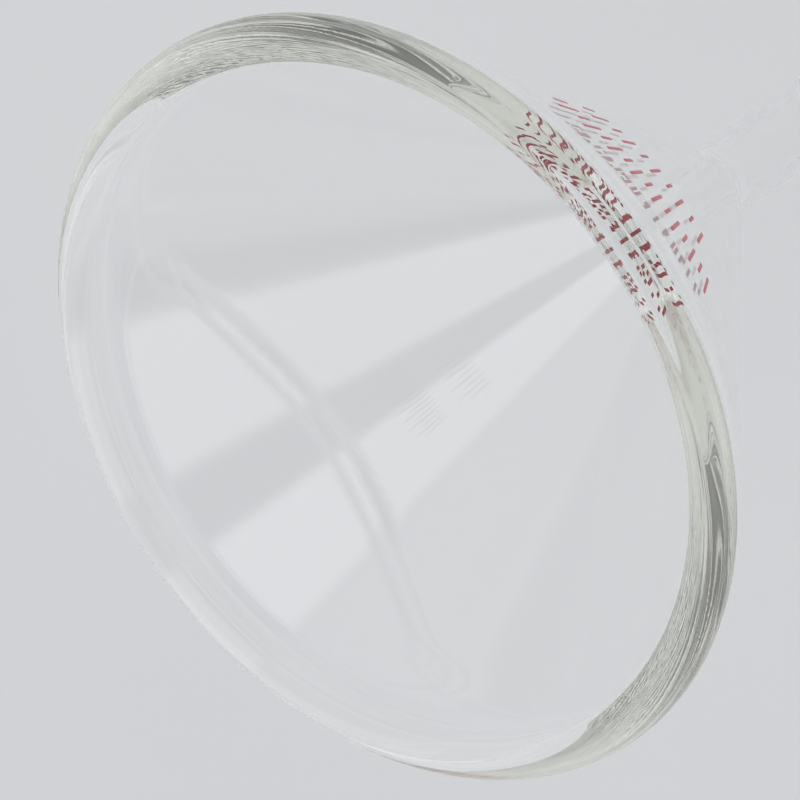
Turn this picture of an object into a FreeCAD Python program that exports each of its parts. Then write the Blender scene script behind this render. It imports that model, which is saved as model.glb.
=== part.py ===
import FreeCAD, Part
import Sketcher
import math
import os

# Plain 60 degree laboratory filter funnel in heavy clear glass, nominal 90 mm across the mouth.
# Frame: the funnel's axis is Z, mouth up and stem down. The origin is the centre of the stem's
# top end, where the straight tube begins below the throat. Millimetres and degrees throughout.
#
# The glass is one fused piece in use. It is divided here as it is made up and as its sections
# differ: a fire-polished rim bead, the cone wall, the throat seal that joins the cone to the
# tube, the stem tube, and the obliquely cut drip tip. The two fired enamel marks are thin
# separate films on the outside of the cone.

doc = FreeCAD.newDocument("FilterFunnel")

# ---------------------------------------------------------------------------------------------
# Driving dimensions
# ---------------------------------------------------------------------------------------------
sheet = doc.addObject("Spreadsheet::Sheet", "Dimensions")
DIMENSIONS = [
    ("cone_line_radius", 45.571), # cone's outer line, at the rim plane
    ("cone_half_angle", 30.0),    # half of the 60 degree cone
    ("wall_thickness", 2.591),     # cone wall, square to its surface
    ("rim_depth", 15.0),          # foot of the rim bead below the rim plane
    ("rim_leaves", 0.623),        # below the rim plane, where the rim leaves the outer cone line
    ("rim_joins", 10.198),          # below the rim plane, where it joins the inner cone line
    ("edge_low_radius", 44.743),  # the seven points that draw the rim, from the edge over the
    ("edge_low_rise", 0.321),    # crown to the lip and the inner side: radius, and rise over
    ("edge_high_radius", 44.361), # the rim plane
    ("edge_high_rise", 0.868),
    ("crown_radius", 42.448),
    ("crown_rise", 1.904),
    ("lip_radius", 40.569),
    ("lip_rise", 1.066),
    ("brow_radius", 39.581),
    ("brow_rise", 0.331),
    ("waist_radius", 40.385),
    ("waist_rise", -2.408),
    ("foot_radius", 40.005),
    ("foot_rise", -4.807),
    ("stem_radius", 5.0),         # outside radius of the stem
    ("bore_radius", 3.5),         # inside radius of the stem
    ("blend_outer", 8.0),         # hollow rounding where the cone runs into the stem, outside
    ("blend_inner", 6.0),         # rounding inside the throat
    ("seal_height", 12.0),        # height of the throat seal above the stem's top end
    ("stem_length", 88.0),        # stem, from its top end to the point of the drip tip
    ("tip_length", 14.0),         # last stretch of the stem, with the oblique cut
    ("tip_angle", 45.0),          # angle of the oblique cut from level
    ("tip_radius", 4.7),          # outside radius to which the tip tapers at its point's level
    ("tip_bore_radius", 3.25),    # and its bore
    ("film_thickness", 0.06),     # fired enamel
    ("upper_row_top", 12.2),      # upper row of marks: top edge, below the rim plane
    ("upper_row_bottom", 18.0),   # its bottom edge at the row's first mark
    ("lower_row_top", 22.4),      # lower row of marks: top edge
    ("lower_row_bottom", 27.4),   # its bottom edge at the row's first mark
    ("row_slope", 0.045),         # both rows fall this much, in mm for each degree round the cone
]
for row, (alias, value) in enumerate(DIMENSIONS, start=1):
    sheet.set("A%d" % row, alias)
    sheet.set("B%d" % row, str(value))
    sheet.setAlias("B%d" % row, alias)
doc.recompute()
D = {alias: value for alias, value in DIMENSIONS}


def ref(alias):
    return "<<Dimensions>>." + alias


# Expressions shared by several sketches, with the same quantities as numbers for the first guess.
HALF = "(%s * 1 deg)" % ref("cone_half_angle")
OUTER_AT_PLANE = ref("cone_line_radius")
INNER_AT_PLANE = "(%s - %s / cos(%s))" % (OUTER_AT_PLANE, ref("wall_thickness"), HALF)
# Height of the rim plane over the stem's top end. The rim plane lies about half a millimetre
# above the largest diameter, and heights on the cone are given as drops below it.
PLANE = "((%s - %s) / tan(%s) + %s * tan(%s / 2))" % (
    OUTER_AT_PLANE, ref("stem_radius"), HALF, ref("blend_outer"), HALF)

half = math.radians(D["cone_half_angle"])
outer_at_plane = D["cone_line_radius"]
inner_at_plane = outer_at_plane - D["wall_thickness"] / math.cos(half)
plane = (outer_at_plane - D["stem_radius"]) / math.tan(half) + D["blend_outer"] * math.tan(half / 2)


def outer_expr(drop):
    """Radius of the cone's outer line at a drop below the rim plane."""
    return "(%s - (%s) * tan(%s))" % (OUTER_AT_PLANE, drop, HALF)


def inner_expr(drop):
    return "(%s - (%s) * tan(%s))" % (INNER_AT_PLANE, drop, HALF)


def outer_r(drop):
    return outer_at_plane - drop * math.tan(half)


def inner_r(drop):
    return inner_at_plane - drop * math.tan(half)


# ---------------------------------------------------------------------------------------------
# Sketch helpers
# ---------------------------------------------------------------------------------------------
def origin_plane(body, role):
    for feature in body.Origin.OriginFeatures:
        if feature.Role == role:
            return feature
    raise RuntimeError("no origin plane " + role)


def new_body(name, base_expr=None):
    body = doc.addObject("PartDesign::Body", name)
    body.Label = name
    body.Placement = FreeCAD.Placement()
    if base_expr is not None:
        body.setExpression("Placement.Base.z", base_expr)
    return body


def new_sketch(body, name, turn=None):
    """A sketch in the body's XZ plane, or in that plane turned about Z by some degrees."""
    sketch = body.newObject("Sketcher::SketchObject", name)
    sketch.AttachmentSupport = [(origin_plane(body, "XZ_Plane"), "")]
    sketch.MapMode = "FlatFace"
    if turn is not None:
        sketch.AttachmentOffset = FreeCAD.Placement(
            FreeCAD.Vector(0, 0, 0), FreeCAD.Rotation(FreeCAD.Vector(0, 1, 0), turn))
    return sketch


def V(x, y):
    return FreeCAD.Vector(x, y, 0)


def pin_point(sketch, geo, pos, x_expr, y_expr, x0, y0):
    """Fixes a sketch point by two dimensions from the origin, each bound to the sheet."""
    cx = sketch.addConstraint(Sketcher.Constraint("DistanceX", -1, 1, geo, pos, x0))
    sketch.setExpression("Constraints[%d]" % cx, x_expr)
    if y_expr is None:
        sketch.addConstraint(Sketcher.Constraint("PointOnObject", geo, pos, -1))
    else:
        cy = sketch.addConstraint(Sketcher.Constraint("DistanceY", -1, 1, geo, pos, y0))
        sketch.setExpression("Constraints[%d]" % cy, y_expr)


def closed_polygon(sketch, corners):
    """corners: (x expression, y expression or None for 0, x, y) for each corner in order."""
    count = len(corners)
    ids = []
    for i in range(count):
        a, b = corners[i], corners[(i + 1) % count]
        ids.append(sketch.addGeometry(Part.LineSegment(V(a[2], a[3]), V(b[2], b[3])), False))
    for i in range(count):
        sketch.addConstraint(Sketcher.Constraint("Coincident", ids[i], 2, ids[(i + 1) % count], 1))
    for i, corner in enumerate(corners):
        pin_point(sketch, ids[i], 1, corner[0], corner[1], corner[2], corner[3])
    return ids


def revolve(body, sketch, name, angle=360.0, midplane=False):
    feature = body.newObject("PartDesign::Revolution", name)
    feature.Profile = sketch
    feature.ReferenceAxis = (sketch, ["V_Axis"])
    feature.Angle = angle
    feature.Midplane = midplane
    feature.Reversed = False
    body.Tip = feature
    return feature


# ---------------------------------------------------------------------------------------------
# Cone wall: a 60 degree conical shell of even thickness, from the throat seal to the rim bead
# ---------------------------------------------------------------------------------------------
cone = new_body("cone_wall", ref("seal_height"))
cone_sketch = new_sketch(cone, "cone_wall_profile")
low_drop_expr = "(%s - %s)" % (PLANE, ref("seal_height"))
low_drop = plane - D["seal_height"]
cone_height_expr = "(%s - %s - %s)" % (PLANE, ref("seal_height"), ref("rim_depth"))
cone_height = plane - D["seal_height"] - D["rim_depth"]
closed_polygon(cone_sketch, [
    (outer_expr(low_drop_expr), None, outer_r(low_drop), 0.0),
    (outer_expr(ref("rim_depth")), cone_height_expr, outer_r(D["rim_depth"]), cone_height),
    (inner_expr(ref("rim_depth")), cone_height_expr, inner_r(D["rim_depth"]), cone_height),
    (inner_expr(low_drop_expr), None, inner_r(low_drop), 0.0),
])
revolve(cone, cone_sketch, "cone_wall_turn")

# ---------------------------------------------------------------------------------------------
# Rim bead: the thickened, fire-polished edge. Molten glass leaves no corner, so its section is
# one smooth curve: up the cone's outer line, round the edge, up the leaning crown to the lip, down
# the nearly upright inner side and back into the cone's inner line. The curve is a cubic B-spline
# of one knot spacing. Its control points are bound to the sheet.
# ---------------------------------------------------------------------------------------------
bead = new_body("rim_bead", "(%s - %s)" % (PLANE, ref("rim_depth")))
bead_sketch = new_sketch(bead, "rim_bead_profile")
depth = D["rim_depth"]


def on_outer(drop_expr, drop):
    return (outer_expr(drop_expr), "(%s - (%s))" % (ref("rim_depth"), drop_expr),
            outer_r(drop), depth - drop)


def on_inner(drop_expr, drop):
    return (inner_expr(drop_expr), "(%s - (%s))" % (ref("rim_depth"), drop_expr),
            inner_r(drop), depth - drop)


def free_point(name):
    return (ref(name + "_radius"), "(%s + %s)" % (ref("rim_depth"), ref(name + "_rise")),
            D[name + "_radius"], depth + D[name + "_rise"])


# (x expression, y expression, x, y) for each control point. Those on a cone line keep the curve
# straight there, so that the bead runs into the cone wall without a step.
CONTROL = [on_outer(ref("rim_depth"), depth), on_outer(ref("rim_depth") + " - 1", depth - 1)]
CONTROL += [on_outer("%s + %d" % (ref("rim_leaves"), n), D["rim_leaves"] + n) for n in (2, 1, 0)]
CONTROL += [free_point(name) for name in
            ("edge_low", "edge_high", "crown", "lip", "brow", "waist", "foot")]
CONTROL += [on_inner("%s + %d" % (ref("rim_joins"), n), D["rim_joins"] + n) for n in (0, 1, 2)]
CONTROL += [on_inner(ref("rim_depth") + " - 1", depth - 1), on_inner(ref("rim_depth"), depth)]
DEGREE = 3
spans = len(CONTROL) - DEGREE
curve = Part.BSplineCurve()
curve.buildFromPolesMultsKnots(
    [V(c[2], c[3]) for c in CONTROL],
    [DEGREE + 1] + [1] * (spans - 1) + [DEGREE + 1],
    [i / spans for i in range(spans + 1)], False, DEGREE)
g_curve = bead_sketch.addGeometry(curve, False)
g_foot = bead_sketch.addGeometry(
    Part.LineSegment(V(*CONTROL[-1][2:]), V(*CONTROL[0][2:])), False)
bead_sketch.exposeInternalGeometry(g_curve)
first_handle = g_foot + 1
for i, (x_expr, y_expr, x0, y0) in enumerate(CONTROL):
    handle = bead_sketch.Geometry[first_handle + i]
    if not isinstance(handle, Part.Circle) or (handle.Center - V(x0, y0)).Length > 0.3:
        raise RuntimeError("control point %d of the rim is not where it is expected" % i)
    on_foot = i in (0, len(CONTROL) - 1)
    pin_point(bead_sketch, first_handle + i, 3, x_expr, None if on_foot else y_expr, x0, y0)
bead_sketch.addConstraint(Sketcher.Constraint("Coincident", g_curve, 2, g_foot, 1))
bead_sketch.addConstraint(Sketcher.Constraint("Coincident", g_foot, 2, g_curve, 1))
revolve(bead, bead_sketch, "rim_bead_turn")

# ---------------------------------------------------------------------------------------------
# Throat seal: where the cone was sealed to the tube. Hollow rounding outside and inside.
# ---------------------------------------------------------------------------------------------
throat = new_body("throat_seal")
throat_sketch = new_sketch(throat, "throat_seal_profile")
bo, bi = D["blend_outer"], D["blend_inner"]
rs, rb = D["stem_radius"], D["bore_radius"]
sh = D["seal_height"]
# Height above the stem's top end at which the inner blend leaves the bore
INNER_START = "(%s - (%s - %s) / tan(%s) - %s * tan(%s / 2))" % (
    PLANE, INNER_AT_PLANE, ref("bore_radius"), HALF, ref("blend_inner"), HALF)
inner_start = plane - (inner_at_plane - rb) / math.tan(half) - bi * math.tan(half / 2)
p_out0 = (rs, 0.0)
p_out1 = (rs + bo - bo * math.cos(half), bo * math.sin(half))
p_out2 = (outer_r(plane - sh), sh)
p_in2 = (inner_r(plane - sh), sh)
p_in1 = (rb + bi - bi * math.cos(half), inner_start + bi * math.sin(half))
p_in0 = (rb, inner_start)
p_in_foot = (rb, 0.0)
t_blend_o = throat_sketch.addGeometry(Part.ArcOfCircle(
    Part.Circle(V(rs + bo, 0), FreeCAD.Vector(0, 0, 1), bo), math.pi - half, math.pi), False)
t_cone_o = throat_sketch.addGeometry(Part.LineSegment(V(*p_out1), V(*p_out2)), False)
t_top = throat_sketch.addGeometry(Part.LineSegment(V(*p_out2), V(*p_in2)), False)
t_cone_i = throat_sketch.addGeometry(Part.LineSegment(V(*p_in2), V(*p_in1)), False)
t_blend_i = throat_sketch.addGeometry(Part.ArcOfCircle(
    Part.Circle(V(rb + bi, inner_start), FreeCAD.Vector(0, 0, 1), bi), math.pi - half, math.pi), False)
t_bore = throat_sketch.addGeometry(Part.LineSegment(V(*p_in0), V(*p_in_foot)), False)
t_foot = throat_sketch.addGeometry(Part.LineSegment(V(*p_in_foot), V(*p_out0)), False)
C = Sketcher.Constraint
# An arc's first end is at the smaller angle: the upper end of each blend
throat_sketch.addConstraint([
    C("Coincident", t_blend_o, 1, t_cone_o, 1),
    C("Coincident", t_cone_o, 2, t_top, 1),
    C("Coincident", t_top, 2, t_cone_i, 1),
    C("Coincident", t_cone_i, 2, t_blend_i, 1),
    C("Coincident", t_blend_i, 2, t_bore, 1),
    C("Coincident", t_bore, 2, t_foot, 1),
    C("Coincident", t_foot, 2, t_blend_o, 2),
])


def bind_in(sketch, kind, geo, pos, value, expr):
    if kind == "Radius":
        index = sketch.addConstraint(C("Radius", geo, value))
    else:
        index = sketch.addConstraint(C(kind, -1, 1, geo, pos, value))
    sketch.setExpression("Constraints[%d]" % index, expr)


bind_in(throat_sketch, "Radius", t_blend_o, 0, bo, ref("blend_outer"))
bind_in(throat_sketch, "DistanceX", t_blend_o, 3, rs + bo, "(%s + %s)" % (ref("stem_radius"), ref("blend_outer")))
throat_sketch.addConstraint(C("PointOnObject", t_blend_o, 3, -1))
throat_sketch.addConstraint(C("PointOnObject", t_blend_o, 2, -1))
bind_in(throat_sketch, "DistanceY", t_blend_o, 1, p_out1[1], "(%s * sin(%s))" % (ref("blend_outer"), HALF))
pin_point(throat_sketch, t_cone_o, 2, outer_expr("(%s - %s)" % (PLANE, ref("seal_height"))),
          ref("seal_height"), *p_out2)
pin_point(throat_sketch, t_top, 2, inner_expr("(%s - %s)" % (PLANE, ref("seal_height"))),
          ref("seal_height"), *p_in2)
bind_in(throat_sketch, "Radius", t_blend_i, 0, bi, ref("blend_inner"))
bind_in(throat_sketch, "DistanceX", t_blend_i, 3, rb + bi, "(%s + %s)" % (ref("bore_radius"), ref("blend_inner")))
bind_in(throat_sketch, "DistanceY", t_blend_i, 3, inner_start, INNER_START)
bind_in(throat_sketch, "DistanceY", t_blend_i, 1, p_in1[1],
        "(%s + %s * sin(%s))" % (INNER_START, ref("blend_inner"), HALF))
bind_in(throat_sketch, "DistanceY", t_blend_i, 2, inner_start, INNER_START)
throat_sketch.addConstraint(C("Vertical", t_bore))
throat_sketch.addConstraint(C("PointOnObject", t_bore, 2, -1))
revolve(throat, throat_sketch, "throat_seal_turn")

# ---------------------------------------------------------------------------------------------
# Stem tube: straight tube from the throat down to the drip tip
# ---------------------------------------------------------------------------------------------
TUBE = "(%s - %s)" % (ref("stem_length"), ref("tip_length"))
tube_length = D["stem_length"] - D["tip_length"]
stem = new_body("stem_tube", "(-1 * %s)" % TUBE)
stem_sketch = new_sketch(stem, "stem_tube_profile")
closed_polygon(stem_sketch, [
    (ref("bore_radius"), None, rb, 0.0),
    (ref("stem_radius"), None, rs, 0.0),
    (ref("stem_radius"), TUBE, rs, tube_length),
    (ref("bore_radius"), TUBE, rb, tube_length),
])
revolve(stem, stem_sketch, "stem_tube_turn")

# ---------------------------------------------------------------------------------------------
# Drip tip: the stem's last stretch, drawn in a little and cut obliquely so that drops leave from
# one point. The long side is towards -X.
# ---------------------------------------------------------------------------------------------
tip = new_body("drip_tip", "(-1 * %s)" % ref("stem_length"))
tip_sketch = new_sketch(tip, "drip_tip_profile")
tl = D["tip_length"]
rt = D["tip_radius"]
closed_polygon(tip_sketch, [
    (ref("tip_bore_radius"), None, D["tip_bore_radius"], 0.0),
    (ref("tip_radius"), None, rt, 0.0),
    (ref("stem_radius"), ref("tip_length"), rs, tl),
    (ref("bore_radius"), ref("tip_length"), rb, tl),
])
tip_turn = revolve(tip, tip_sketch, "drip_tip_turn")
doc.recompute()
whole_tip = tip_turn.Shape.Volume
cut_sketch = new_sketch(tip, "drip_tip_cut_profile")
rise = 2 * rt * math.tan(math.radians(D["tip_angle"]))
over = 2.0
SLANT = "tan(%s * 1 deg)" % ref("tip_angle")
# A triangle below the oblique plane: from the point of the tip at -X up to the short side at +X
corner_a = (-(rt + over), -over * math.tan(math.radians(D["tip_angle"])))
corner_b = (rt + over, corner_a[1])
corner_c = (rt + over, rise + over * math.tan(math.radians(D["tip_angle"])))
closed_polygon(cut_sketch, [
    ("(-1 * (%s + 2))" % ref("tip_radius"), "(-2 * %s)" % SLANT, corner_a[0], corner_a[1]),
    ("(%s + 2)" % ref("tip_radius"), "(-2 * %s)" % SLANT, corner_b[0], corner_b[1]),
    ("(%s + 2)" % ref("tip_radius"), "(2 * %s * %s + 2 * %s)" % (ref("tip_radius"), SLANT, SLANT),
     corner_c[0], corner_c[1]),
])
cut = tip.newObject("PartDesign::Pocket", "drip_tip_cut")
cut.Profile = cut_sketch
cut.Type = "Length"
cut.Length = 40.0
cut.Midplane = True
tip.Tip = cut
doc.recompute()
if not cut.Shape.Volume < 0.8 * whole_tip:
    raise RuntimeError("the oblique cut removed nothing")

# ---------------------------------------------------------------------------------------------
# Fired enamel marks: two rows of plain, evenly spaced ticks on the outside of the cone, long and
# short in turn. Each tick is a thin conical patch that stands on the row's bottom edge.
# ---------------------------------------------------------------------------------------------
SHORT_TICK = 0.62  # a short tick's height as a share of a long one's


def ticks(first, step, count, width):
    """(azimuth, width, share of the row's height) for each tick, in degrees about Z."""
    return [(first + step * i, width, 1.0 if i % 2 == 0 else SHORT_TICK) for i in range(count)]


UPPER_TICKS = ticks(-13.1, 2.7, 16, 0.72)
LOWER_TICKS = ticks(-7.5, 4.0, 10, 0.86)


def mark_row(label, marks, top_alias, bottom_alias):
    body = new_body(label, PLANE)
    first = marks[0][0]
    for i, (azimuth, width, share) in enumerate(marks):
        tall_expr = "(%s - %s)" % (ref(bottom_alias), ref(top_alias))
        tall = D[bottom_alias] - D[top_alias]
        fall = azimuth - first
        low_expr = "(%s + %g * %s)" % (ref(bottom_alias), fall, ref("row_slope"))
        high_expr = "(%s - %g * %s)" % (low_expr, share, tall_expr)
        low_d = D[bottom_alias] + fall * D["row_slope"]
        high_d = low_d - share * tall
        film_r = D["film_thickness"] / math.cos(half)
        film_expr = "%s / cos(%s)" % (ref("film_thickness"), HALF)
        sketch = new_sketch(body, "%s_profile_%02d" % (label, i + 1), azimuth)
        closed_polygon(sketch, [
            (outer_expr(low_expr), "(-1 * %s)" % low_expr, outer_r(low_d), -low_d),
            ("(%s + %s)" % (outer_expr(low_expr), film_expr), "(-1 * %s)" % low_expr,
             outer_r(low_d) + film_r, -low_d),
            ("(%s + %s)" % (outer_expr(high_expr), film_expr), "(-1 * %s)" % high_expr,
             outer_r(high_d) + film_r, -high_d),
            (outer_expr(high_expr), "(-1 * %s)" % high_expr, outer_r(high_d), -high_d),
        ])
        revolve(body, sketch, "%s_tick_%02d" % (label, i + 1), width, True)
    return body


upper_marks = mark_row("enamel_marks_upper", UPPER_TICKS, "upper_row_top", "upper_row_bottom")
lower_marks = mark_row("enamel_marks_lower", LOWER_TICKS, "lower_row_top", "lower_row_bottom")

# ---------------------------------------------------------------------------------------------
# Check and write
# ---------------------------------------------------------------------------------------------
doc.recompute()
for item in doc.Objects:
    bad = [word for word in item.State if "Invalid" in word or "Error" in word]
    if bad:
        raise RuntimeError("%s failed: %s" % (item.Name, ", ".join(item.State)))

bodies = [bead, cone, throat, stem, tip, upper_marks, lower_marks]
os.makedirs("parts", exist_ok=True)
for body in bodies:
    shape = body.Shape
    if shape.isNull() or not shape.isValid() or not shape.Solids:
        raise RuntimeError("%s has no valid shape" % body.Label)
    box = shape.BoundBox
    print("%-20s solids %2d  volume %10.2f mm3  x %.2f..%.2f  y %.2f..%.2f  z %.2f..%.2f" % (
        body.Label, len(shape.Solids), shape.Volume, box.XMin, box.XMax, box.YMin, box.YMax,
        box.ZMin, box.ZMax))
for body in bodies:
    body.Shape.exportStep("parts/%s.step" % body.Label)
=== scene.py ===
import bpy
import bmesh
import math
import random
from mathutils import Matrix, Vector, noise


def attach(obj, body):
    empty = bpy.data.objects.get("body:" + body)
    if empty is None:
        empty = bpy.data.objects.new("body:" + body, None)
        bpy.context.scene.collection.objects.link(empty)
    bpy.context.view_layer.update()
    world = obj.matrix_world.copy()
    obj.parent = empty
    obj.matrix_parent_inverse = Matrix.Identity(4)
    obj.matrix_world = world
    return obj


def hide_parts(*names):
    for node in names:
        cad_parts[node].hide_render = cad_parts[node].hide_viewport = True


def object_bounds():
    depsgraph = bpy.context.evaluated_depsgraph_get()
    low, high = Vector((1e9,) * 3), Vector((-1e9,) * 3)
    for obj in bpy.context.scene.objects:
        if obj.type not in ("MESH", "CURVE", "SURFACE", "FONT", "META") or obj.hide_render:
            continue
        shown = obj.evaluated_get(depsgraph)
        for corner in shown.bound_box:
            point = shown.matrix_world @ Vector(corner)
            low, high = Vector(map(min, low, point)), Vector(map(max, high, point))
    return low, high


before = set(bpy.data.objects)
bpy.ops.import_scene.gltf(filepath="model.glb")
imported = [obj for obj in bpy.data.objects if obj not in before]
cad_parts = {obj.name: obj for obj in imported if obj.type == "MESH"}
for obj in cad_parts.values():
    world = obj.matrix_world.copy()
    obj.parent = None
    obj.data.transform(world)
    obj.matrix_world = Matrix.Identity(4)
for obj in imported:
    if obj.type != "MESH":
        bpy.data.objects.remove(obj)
cad_lo, cad_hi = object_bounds()

MM = 0.001
HALF = math.radians(30.0)

# ------------------------------------------------------------------------------------------------
# Section of the glass, in millimetres, in the row's frame (axis on Z, stem's top end at 0)
# ------------------------------------------------------------------------------------------------
WALL = 2.591
STEM_R, BORE_R = 5.0, 3.5
TIP_R, TIP_BORE_R = 4.7, 3.25
BLEND_O, BLEND_I = 8.0, 6.0
STEM_L, TIP_L = 88.0, 14.0
OUT0 = 45.571                                          # outer cone line at the rim plane
IN0 = OUT0 - WALL / math.cos(HALF)
PLANE = (OUT0 - STEM_R) / math.tan(HALF) + BLEND_O * math.tan(HALF / 2)
# Control points of the rim's section between the two cone lines: radius, and height over the plane
RIM_POINTS = [(44.743, 0.321), (44.361, 0.868), (42.448, 1.904), (40.569, 1.066), (39.581, 0.331), (40.385, -2.408), (40.005, -4.807)]
RIM_OUT, RIM_IN = -0.623, -10.198                        # where it leaves the outer line, and joins the inner line


def spline(poles, count):
    """Clamped uniform cubic B-spline through its end poles."""
    n, deg = len(poles), 3
    knots = [0.0] * deg + [i / (n - deg) for i in range(n - deg + 1)] + [1.0] * deg
    out = []
    for step in range(count + 1):
        t = min(step / count, 1 - 1e-9)
        k = max(i for i in range(deg, n) if knots[i] <= t)
        d = [list(poles[j + k - deg]) for j in range(deg + 1)]
        for r in range(1, deg + 1):
            for j in range(deg, r - 1, -1):
                i = j + k - deg
                a = (t - knots[i]) / (knots[i + deg - r + 1] - knots[i])
                d[j] = [(1 - a) * d[j - 1][c] + a * d[j][c] for c in range(2)]
        out.append(tuple(d[deg]))
    return out


def rim_section():
    """The fire-polished rim: off the cone's outer line, round the edge, over the crown to the lip, down to the inner line."""
    def outer(z):
        return (OUT0 + z * math.tan(HALF), z)

    def inner(z):
        return (IN0 + z * math.tan(HALF), z)

    poles = ([outer(-15), outer(-14), outer(RIM_OUT - 2), outer(RIM_OUT - 1), outer(RIM_OUT)] + RIM_POINTS
             + [inner(RIM_IN), inner(RIM_IN - 1), inner(RIM_IN - 2), inner(-14), inner(-15)])
    return spline(poles, 2400)


def thinned(points, keep):
    """Points at steps that keep(z, r) sets, in mm."""
    out, gone = [points[0]], 0.0
    for a, b in zip(points, points[1:]):
        gone += math.hypot(b[0] - a[0], b[1] - a[1])
        if gone >= keep(*b):
            out.append(b)
            gone = 0.0
    if out[-1] != points[-1]:
        out.append(points[-1])
    return out


def section():
    """(radius, height) from the end of the bore at the drip tip, up outside... as one closed loop without its drip tip end."""
    rim = thinned(rim_section(), lambda r, z: 0.11 if z > -0.9 and r > 42 else 0.14 if z > -5.5 else 0.8)
    rim = [(r, z + PLANE) for r, z in rim]
    outer = []
    z = -(STEM_L - TIP_L)
    n = 12
    outer += [(STEM_R, z + (0 - z) * i / n) for i in range(n)]
    outer += [(STEM_R + BLEND_O - BLEND_O * math.cos(math.radians(a)), BLEND_O * math.sin(math.radians(a)))
              for a in [30 * i / 14 for i in range(15)]]
    zo, ro = outer[-1][1], outer[-1][0]
    z_end = rim[0][1]
    n = 16
    outer += [(ro + (z - zo) * math.tan(HALF), z) for z in [zo + (z_end - zo) * i / n for i in range(1, n)]]
    inner_start = PLANE - (IN0 - BORE_R) / math.tan(HALF) - BLEND_I * math.tan(HALF / 2)
    inner = [(BORE_R + BLEND_I - BLEND_I * math.cos(math.radians(a)), inner_start + BLEND_I * math.sin(math.radians(a)))
             for a in [30 * i / 14 for i in range(15)]]
    zi, ri = inner[-1][1], inner[-1][0]
    z_top = rim[-1][1]
    up = [(ri + (z - zi) * math.tan(HALF), z) for z in [zi + (z_top - zi) * i / n for i in range(1, n)]]
    z0 = -(STEM_L - TIP_L)
    low = [(BORE_R, z0 + (inner_start - z0) * i / 12) for i in range(12)]
    inner_all = low + inner + up
    return outer + rim + inner_all[::-1]


SECTION = section()
TURNS = 360


def lathe():
    """The glass as one closed surface: the section turned about Z, closed by the obliquely cut, fire-polished tip."""
    bm = bmesh.new()
    # Tip rows, from inside the bore at the tip's top, down to the cut, round its edge and up outside.
    # Each is (wall radius at the tip's top, and at its point, step off that wall, share of the way to the cut,
    # rise above the cut).
    round_r = 0.45
    outside, inside = (STEM_R, TIP_R), (BORE_R, TIP_BORE_R)
    tip_rows = [(outside, 0.0, i / 10, 0.0) for i in range(1, 10)]
    tip_rows += [(outside, -round_r * (1 - math.cos(math.radians(a))), 1.0, round_r * (1 - math.sin(math.radians(a))))
                 for a in range(0, 91, 15)]
    tip_rows += [(inside, round_r * (1 - math.sin(math.radians(a))), 1.0, round_r * (1 - math.cos(math.radians(a))))
                 for a in range(0, 91, 15)]
    tip_rows += [(inside, 0.0, i / 10, 0.0) for i in range(9, 0, -1)]
    top = -(STEM_L - TIP_L)
    rows = []
    for r, z in SECTION:
        rows.append([(r * math.cos(2 * math.pi * k / TURNS), r * math.sin(2 * math.pi * k / TURNS), z)
                     for k in range(TURNS)])
    for (r_top, r_end), step, share, rise in tip_rows[::-1]:
        row = []
        for k in range(TURNS):
            c, s = math.cos(2 * math.pi * k / TURNS), math.sin(2 * math.pi * k / TURNS)
            z = r = 0.0
            for _ in range(6):             # the taper and the slanted cut meet where both hold
                z_wall = min(top, z) if r else -STEM_L
                r = r_top + (r_end - r_top) * (top - z_wall) / TIP_L + step
                cut = -STEM_L + (r * c + TIP_R) * math.tan(math.radians(45.0))
                z = cut + rise
            if share < 1.0:
                z = top + (cut + round_r - top) * share
                r = r_top + (r_end - r_top) * (top - z) / TIP_L
            row.append((r * c, r * s, z))
        rows.append(row)
    grid = [[bm.verts.new((x * MM, y * MM, z * MM)) for x, y, z in row] for row in rows]
    count = len(grid)
    for i in range(count):
        a, b = grid[i], grid[(i + 1) % count]
        for k in range(TURNS):
            n = (k + 1) % TURNS
            bm.faces.new((a[k], a[n], b[n], b[k]))
    bm.normal_update()
    mesh = bpy.data.meshes.new("funnel_glass")
    # outward normals: the outer wall's faces point away from the axis
    face = min(bm.faces, key=lambda f: abs(f.calc_center_median().z - 0.03) - f.calc_center_median().xy.length)
    c = face.calc_center_median()
    if face.normal.x * c.x + face.normal.y * c.y < 0:
        bmesh.ops.reverse_faces(bm, faces=bm.faces)
    bm.to_mesh(mesh)
    bm.free()
    for p in mesh.polygons:
        p.use_smooth = True
    obj = bpy.data.objects.new("funnel_glass", mesh)
    bpy.context.collection.objects.link(obj)
    return obj


# ------------------------------------------------------------------------------------------------
# Materials
# ------------------------------------------------------------------------------------------------
def new_material(name):
    mat = bpy.data.materials.new(name)
    mat.use_nodes = True
    nt = mat.node_tree
    nt.nodes.clear()
    out = nt.nodes.new("ShaderNodeOutputMaterial")
    return mat, nt, out


def node(nt, kind, **inputs):
    n = nt.nodes.new(kind)
    for key, value in inputs.items():
        if key in n.inputs:
            n.inputs[key].default_value = value
        else:
            setattr(n, key, value)
    return n


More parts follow.
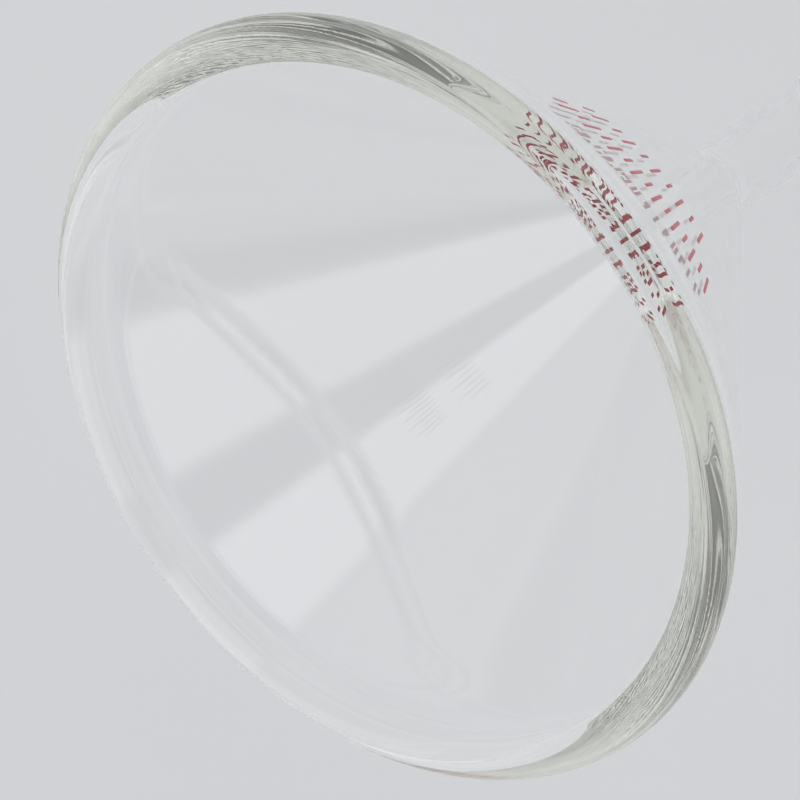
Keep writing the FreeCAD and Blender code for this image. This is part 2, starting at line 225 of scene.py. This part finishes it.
def glass_material():
    """Clear glass: shallow waves from working it in the flame, fine drawn streaks that run round the axis, faint handling marks."""
    mat, nt, out = new_material("clear_glass")
    p = nt.nodes.new("ShaderNodeBsdfPrincipled")
    p.inputs["Base Color"].default_value = (1, 1, 1, 1)
    p.inputs["IOR"].default_value = 1.51
    p.inputs["Transmission Weight"].default_value = 1.0
    v = nt.nodes.new("ShaderNodeVolumeAbsorption")
    v.inputs["Color"].default_value = (0.950, 0.965, 0.885, 1)
    v.inputs["Density"].default_value = 6.0
    tc = nt.nodes.new("ShaderNodeTexCoord")
    sep = nt.nodes.new("ShaderNodeSeparateXYZ")
    nt.links.new(tc.outputs["Object"], sep.inputs[0])

    def calc(op, a, b=None):
        n = nt.nodes.new("ShaderNodeMath")
        n.operation = op
        for i, value in enumerate((a, b)):
            if value is None:
                continue
            if isinstance(value, (int, float)):
                n.inputs[i].default_value = value
            else:
                nt.links.new(value, n.inputs[i])
        return n.outputs[0]

    x, y, z = sep.outputs
    radius = calc("SQRT", calc("ADD", calc("MULTIPLY", x, x), calc("MULTIPLY", y, y)))

    # streaks: a noise that changes quickly up the wall and across it, slowly round the axis
    stretch = nt.nodes.new("ShaderNodeCombineXYZ")
    nt.links.new(calc("MULTIPLY", calc("DIVIDE", x, radius), 1.6), stretch.inputs[0])
    nt.links.new(calc("MULTIPLY", calc("DIVIDE", y, radius), 1.6), stretch.inputs[1])
    nt.links.new(calc("MULTIPLY", calc("ADD", z, calc("MULTIPLY", radius, 0.6)), 2200.0), stretch.inputs[2])
    streaks = nt.nodes.new("ShaderNodeTexNoise")
    streaks.inputs["Scale"].default_value = 1.0
    streaks.inputs["Detail"].default_value = 1.5
    nt.links.new(stretch.outputs[0], streaks.inputs["Vector"])
    # waves a few millimetres long
    waves = nt.nodes.new("ShaderNodeTexNoise")
    waves.inputs["Scale"].default_value = 150.0
    waves.inputs["Detail"].default_value = 1.0
    nt.links.new(tc.outputs["Object"], waves.inputs["Vector"])

    bump1 = nt.nodes.new("ShaderNodeBump")
    bump1.inputs["Strength"].default_value = 1.0
    bump1.inputs["Distance"].default_value = 0.0000035
    nt.links.new(waves.outputs["Fac"], bump1.inputs["Height"])
    bump2 = nt.nodes.new("ShaderNodeBump")
    bump2.inputs["Strength"].default_value = 1.0
    bump2.inputs["Distance"].default_value = 0.0000012
    nt.links.new(streaks.outputs["Fac"], bump2.inputs["Height"])
    nt.links.new(bump1.outputs[0], bump2.inputs["Normal"])
    nt.links.new(bump2.outputs[0], p.inputs["Normal"])

    # faint marks from handling in the roughness
    marks = nt.nodes.new("ShaderNodeTexNoise")
    marks.inputs["Scale"].default_value = 60.0
    marks.inputs["Detail"].default_value = 6.0
    nt.links.new(tc.outputs["Object"], marks.inputs["Vector"])
    rough = nt.nodes.new("ShaderNodeMapRange")
    rough.inputs["From Min"].default_value = 0.5
    rough.inputs["From Max"].default_value = 0.8
    rough.inputs["To Min"].default_value = 0.0
    rough.inputs["To Max"].default_value = 0.035
    nt.links.new(marks.outputs["Fac"], rough.inputs["Value"])
    nt.links.new(rough.outputs["Result"], p.inputs["Roughness"])
    nt.links.new(p.outputs[0], out.inputs["Surface"])
    nt.links.new(v.outputs[0], out.inputs["Volume"])
    return mat


def enamel_material():
    mat, nt, out = new_material("red_enamel")
    p = nt.nodes.new("ShaderNodeBsdfPrincipled")
    p.inputs["Roughness"].default_value = 0.35
    tc = nt.nodes.new("ShaderNodeTexCoord")
    n1 = nt.nodes.new("ShaderNodeTexNoise")
    n1.inputs["Scale"].default_value = 2500.0
    n1.inputs["Detail"].default_value = 3.0
    ramp = nt.nodes.new("ShaderNodeValToRGB")
    ramp.color_ramp.elements[0].position = 0.3
    ramp.color_ramp.elements[0].color = (0.48, 0.07, 0.088, 1)
    ramp.color_ramp.elements[1].position = 0.7
    ramp.color_ramp.elements[1].color = (0.62, 0.105, 0.128, 1)
    nt.links.new(tc.outputs["Object"], n1.inputs["Vector"])
    nt.links.new(n1.outputs["Fac"], ramp.inputs["Fac"])
    nt.links.new(ramp.outputs["Color"], p.inputs["Base Color"])
    nt.links.new(p.outputs[0], out.inputs["Surface"])
    return mat


def floor_material():
    mat, nt, out = new_material("pale_floor")
    p = nt.nodes.new("ShaderNodeBsdfPrincipled")
    p.inputs["Roughness"].default_value = 0.85
    p.inputs["Specular IOR Level"].default_value = 0.2
    tc = nt.nodes.new("ShaderNodeTexCoord")
    n1 = nt.nodes.new("ShaderNodeTexNoise")
    n1.inputs["Scale"].default_value = 6.0
    n1.inputs["Detail"].default_value = 2.0
    ramp = nt.nodes.new("ShaderNodeValToRGB")
    ramp.color_ramp.elements[0].position = 0.3
    ramp.color_ramp.elements[0].color = (0.795, 0.80, 0.815, 1)
    ramp.color_ramp.elements[1].position = 0.7
    ramp.color_ramp.elements[1].color = (0.815, 0.82, 0.83, 1)
    nt.links.new(tc.outputs["Object"], n1.inputs["Vector"])
    nt.links.new(n1.outputs["Fac"], ramp.inputs["Fac"])
    nt.links.new(ramp.outputs["Color"], p.inputs["Base Color"])
    nt.links.new(p.outputs[0], out.inputs["Surface"])
    return mat


GLASS, ENAMEL = glass_material(), enamel_material()

glass = lathe()
glass.data.materials.append(GLASS)
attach(glass, "root")
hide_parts("rim_bead", "cone_wall", "throat_seal", "stem_tube", "drip_tip")


# ------------------------------------------------------------------------------------------------
# Fired enamel ticks: thin films keyed into the glass, with rounded corners and a slightly uneven edge
# ------------------------------------------------------------------------------------------------
def cone_point(azimuth, drop, lift):
    """A point on the outside of the cone: azimuth in degrees, drop below the rim plane, lift square to the wall."""
    r = OUT0 - drop * math.tan(HALF) + lift * math.cos(HALF)
    z = PLANE - drop - lift * math.sin(HALF)
    a = math.radians(azimuth)
    return Vector((r * math.cos(a), r * math.sin(a), z)) * MM


def tick_outline(half_w, half_h, corner, n=5):
    pts = []
    for sx, sy, a0 in ((1, 1, 0), (-1, 1, 90), (-1, -1, 180), (1, -1, 270)):
        for i in range(n + 1):
            a = math.radians(a0 + 90 * i / n)
            pts.append((sx * (half_w - corner) + corner * math.cos(a), sy * (half_h - corner) + corner * math.sin(a)))
    return pts


def mark_row(name, first, step, count, width, top, bottom, slope, short, node_name):
    bm = bmesh.new()
    rng = random.Random(7)
    for i in range(count):
        azimuth = first + step * i
        low = bottom + slope * step * i
        high = low - (bottom - top) * (1.0 if i % 2 == 0 else short)
        mid = (low + high) / 2
        r_mid = OUT0 - mid * math.tan(HALF)
        slant = (low - high) / math.cos(HALF)
        half_w = math.radians(width) * r_mid / 2
        outline = tick_outline(half_w, slant / 2, min(half_w * 0.75, 0.3), 4)
        # more points along the long sides, each a little off true
        dense = []
        for (x0, y0), (x1, y1) in zip(outline, outline[1:] + outline[:1]):
            seg = math.hypot(x1 - x0, y1 - y0)
            n = max(1, int(seg / 0.18))
            dense += [(x0 + (x1 - x0) * k / n, y0 + (y1 - y0) * k / n) for k in range(n)]
        seed = rng.random() * 50
        dense = [(x * (1 + 0.05 * noise.noise(Vector((x * 3, y * 3, seed)))),
                  y * (1 + 0.006 * noise.noise(Vector((x * 3, y * 3, seed + 9))))) for x, y in dense]

        def place(x, y, lift):
            drop = mid - y * math.cos(HALF)
            return cone_point(azimuth + math.degrees(x / (OUT0 - drop * math.tan(HALF))), drop, lift)

        rings = []
        for share, lift in ((1.0, -0.018), (1.0, 0.012), (0.93, 0.026), (0.80, 0.034)):
            ring = []
            for x, y in dense:
                inset = (1 - share) * half_w
                sx = x * (1 - inset / half_w)
                sy = y * (1 - inset / (slant / 2))
                ring.append(bm.verts.new(place(sx, sy, lift)))
            rings.append(ring)
        n = len(dense)
        for a, b in zip(rings, rings[1:]):
            for k in range(n):
                bm.faces.new((a[k], a[(k + 1) % n], b[(k + 1) % n], b[k]))
        # caps as strips across the tick, so that they follow the cone
        for ring, lift in ((rings[0], -0.018), (rings[-1], 0.034)):
            centre = bm.verts.new(place(0, 0, lift))
            for k in range(n):
                bm.faces.new((ring[k], ring[(k + 1) % n], centre))
    bmesh.ops.recalc_face_normals(bm, faces=bm.faces)
    mesh = bpy.data.meshes.new(name)
    bm.to_mesh(mesh)
    bm.free()
    for p in mesh.polygons:
        p.use_smooth = True
    obj = bpy.data.objects.new(name, mesh)
    bpy.context.collection.objects.link(obj)
    obj.data.materials.append(ENAMEL)
    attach(obj, "root")
    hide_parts(node_name)
    return obj


mark_row("enamel_ticks_upper", -13.1, 2.7, 16, 0.72, 12.2, 18.0, 0.045, 0.62, "enamel_marks_upper")
mark_row("enamel_ticks_lower", -7.5, 4.0, 10, 0.86, 22.4, 27.4, 0.045, 0.62, "enamel_marks_lower")

# ------------------------------------------------------------------------------------------------
# Floor, light and camera
# ------------------------------------------------------------------------------------------------
floor_mesh = bpy.data.meshes.new("floor")
S = 3.0
FLOOR_Z = cad_lo[2] - 0.0002
floor_mesh.from_pydata([(-S, -S, FLOOR_Z), (S, -S, FLOOR_Z), (S, S, FLOOR_Z), (-S, S, FLOOR_Z)], [], [(0, 1, 2, 3)])
floor = bpy.data.objects.new("floor", floor_mesh)
bpy.context.collection.objects.link(floor)
floor.data.materials.append(floor_material())

world = bpy.data.worlds.new("studio")
bpy.context.scene.world = world
world.use_nodes = True
wn = world.node_tree
wn.nodes.clear()
w_out = wn.nodes.new("ShaderNodeOutputWorld")
w_bg = wn.nodes.new("ShaderNodeBackground")
wn.links.new(w_bg.outputs[0], w_out.inputs["Surface"])


def maths(op, a, b=None):
    n = wn.nodes.new("ShaderNodeMath")
    n.operation = op
    for i, value in enumerate((a, b)):
        if value is None:
            continue
        if isinstance(value, (int, float)):
            n.inputs[i].default_value = value
        else:
            wn.links.new(value, n.inputs[i])
    return n.outputs[0]


def along(direction):
    n = wn.nodes.new("ShaderNodeVectorMath")
    n.operation = "DOT_PRODUCT"
    wn.links.new(sky_dir, n.inputs[0])
    n.inputs[1].default_value = direction
    return n.outputs["Value"]


def ease(value, a, b):
    """0 below a, 1 above b, smooth between."""
    n = wn.nodes.new("ShaderNodeMapRange")
    n.interpolation_type = "SMOOTHSTEP"
    n.inputs["From Min"].default_value = a
    n.inputs["From Max"].default_value = b
    wn.links.new(value, n.inputs["Value"])
    return n.outputs["Result"]


def band(value, a, b, soft):
    up = ease(value, a - soft, a + soft)
    down = ease(value, b - soft, b + soft)
    return maths("MULTIPLY", up, maths("SUBTRACT", 1.0, down))


# The light tent: its top lies on +X, 14 degrees towards +Z. side is the angle to the left and right of the top, rise the
# angle from there towards the mouth's side, both in degrees.
tc = wn.nodes.new("ShaderNodeTexCoord")
sky_dir = tc.outputs["Generated"]
TOP, FRONT = (0.970, 0.0, 0.2425), (-0.2425, 0.0, 0.970)
top_dot, front_dot, y_dot = along(TOP), along(FRONT), along((0, 1, 0))
side = maths("MULTIPLY", maths("ARCTAN2", y_dot, top_dot), 180 / math.pi)
rise = maths("MULTIPLY", maths("ARCSINE", front_dot), 180 / math.pi)

PANELS = [
    # side from, to, rise from, to, softness, radiance added
    (-61, -17, -30, 13, 3.0, 1.0),
    (5, 37, -30, 13, 3.0, 1.25),
    (38, 105, -60, 30, 4.0, 0.45),
    (-14, 3, -60, 13, 3.0, -0.22),
    (-80, -65, -40, 20, 4.0, -0.40),
    (-75, 75, 18, 65, 4.0, 0.10),
    (10, 32, 24, 46, 4.0, -0.46),
    (-37, -10, 24, 46, 4.0, -0.42),
]
BASE = 0.52
total = BASE
for s0, s1, r0, r1, soft, power in PANELS:
    piece = maths("MULTIPLY", maths("MULTIPLY", band(side, s0, s1, soft), band(rise, r0, r1, soft)), power)
    total = maths("ADD", piece, total)
# the far half, behind the tent's own table: as bright as the table low down, a broad soft light higher up
behind = maths("SUBTRACT", 1.0, ease(top_dot, -0.10, 0.0))
broad = ease(along((0, 0, 1)), 0.0, 0.25)
back = maths("ADD", 0.66, maths("MULTIPLY", broad, 0.50))
total = maths("ADD", maths("MULTIPLY", total, maths("SUBTRACT", 1.0, behind)), maths("MULTIPLY", behind, back))
w_bg.inputs["Color"].default_value = (0.975, 0.985, 1.0, 1)
wn.links.new(total, w_bg.inputs["Strength"])

# Camera: 332.2 mm from the mouth's centre, 45.4 degrees off the axis, turned about the line of sight
CAM_D, CAM_BETA, CAM_RHO = 332.2, math.radians(45.44), math.radians(235.88)
CAM_TX, CAM_TY, CAM_F = -27.1, 13.5, 3071.0
scene = bpy.context.scene
cam_data = bpy.data.cameras.new("camera")
cam = bpy.data.objects.new("camera", cam_data)
bpy.context.collection.objects.link(cam)
to_cam = Vector((math.sin(CAM_BETA), 0.0, math.cos(CAM_BETA)))
mouth = Vector((0, 0, PLANE))
fwd = -to_cam
right = fwd.cross(Vector((0, 0, 1))).normalized()
up = right.cross(fwd)
r1 = right * math.cos(CAM_RHO) + up * math.sin(CAM_RHO)
u1 = -right * math.sin(CAM_RHO) + up * math.cos(CAM_RHO)
aim = Vector((CAM_TX / CAM_F, -CAM_TY / CAM_F, 1.0)).normalized()
turn = Vector((0, 0, 1)).rotation_difference(aim).to_matrix()
rows = turn @ Matrix((r1, u1, fwd))
x_axis, y_axis, z_axis = Vector(rows[0]), Vector(rows[1]), -Vector(rows[2])
m = Matrix((x_axis, y_axis, z_axis)).transposed().to_4x4()
m.translation = (mouth + to_cam * CAM_D) * MM
cam.matrix_world = m
cam_data.sensor_width = 36.0
cam_data.lens = CAM_F * 36.0 / 800.0
cam_data.clip_start, cam_data.clip_end = 0.01, 20.0
scene.camera = cam

scene.view_settings.view_transform = "Standard"
scene.view_settings.look = "None"
scene.cycles.max_bounces = 64
scene.cycles.transmission_bounces = 64
scene.cycles.glossy_bounces = 64
scene.cycles.diffuse_bounces = 4
